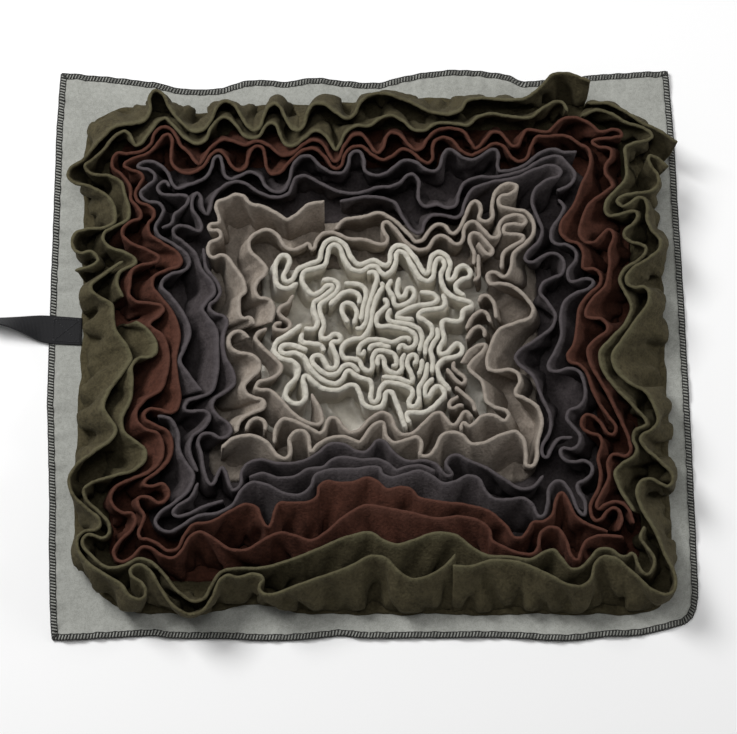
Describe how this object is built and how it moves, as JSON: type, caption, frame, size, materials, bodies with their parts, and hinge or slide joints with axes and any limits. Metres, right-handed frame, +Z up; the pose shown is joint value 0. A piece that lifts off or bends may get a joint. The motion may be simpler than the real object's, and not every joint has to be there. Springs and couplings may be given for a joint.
{
  "type": "snuffle mat",
  "caption": "Felt snuffle mat for pets: ruffled upright fleece strips in rings of olive, rust, slate, taupe and cream on a flat felt base, with a webbing strap at one side.",
  "frame": {"origin": "on the underside of the felt base, at the middle of the area it covers", "axes": "+Z up from the surface it lies on, +X towards the side away from the strap, +Y towards the far edge"},
  "size_m": [0.6776, 0.5706, 0.0552],
  "materials": {
    "grey_felt": "matt non-woven felt",
    "black_webbing": "ribbed woven tape",
    "olive_fleece": "brushed fleece",
    "rust_fleece": "brushed fleece",
    "slate_fleece": "brushed fleece",
    "taupe_fleece": "brushed fleece",
    "pale_fleece": "brushed fleece"
  },
  "bodies": {
    "root": {"base_felt": "grey_felt", "olive_inner_left": "olive_fleece", "olive_inner_right": "olive_fleece", "olive_inner_top": "olive_fleece", "olive_outer_corner": "olive_fleece", "olive_outer_left": "olive_fleece", "olive_outer_right": "olive_fleece", "olive_outer_top": "olive_fleece", "pale_band_right": "pale_fleece", "pale_centre_left": "pale_fleece", "pale_eye": "pale_fleece", "pale_face_right": "pale_fleece", "pale_fold_right": "pale_fleece", "pale_hook": "pale_fleece", "pale_hook_second": "pale_fleece", "pale_inner_wave": "pale_fleece", "pale_left_fold": "pale_fleece", "pale_long_fold": "pale_fleece", "pale_low_crook": "pale_fleece", "pale_low_hook": "pale_fleece", "pale_low_loop": "pale_fleece", "pale_low_right": "pale_fleece", "pale_low_strand": "pale_fleece", "pale_low_wave": "pale_fleece", "pale_outer_low": "pale_fleece", "pale_outer_top": "pale_fleece", "pale_peak": "pale_fleece", "pale_second": "pale_fleece", "pale_second_low": "pale_fleece", "pale_top_arch": "pale_fleece", "pale_top_wave": "pale_fleece", "rust_inner": "rust_fleece", "rust_outer": "rust_fleece", "slate_inner_left": "slate_fleece", "slate_inner_right": "slate_fleece", "slate_loop": "slate_fleece", "slate_mid_base": "slate_fleece", "slate_mid_left": "slate_fleece", "slate_mid_low": "slate_fleece", "slate_outer_high": "slate_fleece", "slate_outer_low": "slate_fleece", "strap": "black_webbing", "taupe_arch_left": "taupe_fleece", "taupe_crook_right": "taupe_fleece", "taupe_curl_left": "taupe_fleece", "taupe_fan_right": "taupe_fleece", "taupe_hook_right": "taupe_fleece", "taupe_hump_right": "taupe_fleece", "taupe_inner_base": "taupe_fleece", "taupe_inner_left": "taupe_fleece", "taupe_inner_low": "taupe_fleece", "taupe_inner_right": "taupe_fleece", "taupe_outer_left": "taupe_fleece", "taupe_outer_low": "taupe_fleece", "taupe_outer_right": "taupe_fleece", "taupe_peak_right": "taupe_fleece", "taupe_slope_right": "taupe_fleece", "taupe_stem_right": "taupe_fleece", "taupe_tongue_right": "taupe_fleece"}
  },
  "joints": []
}
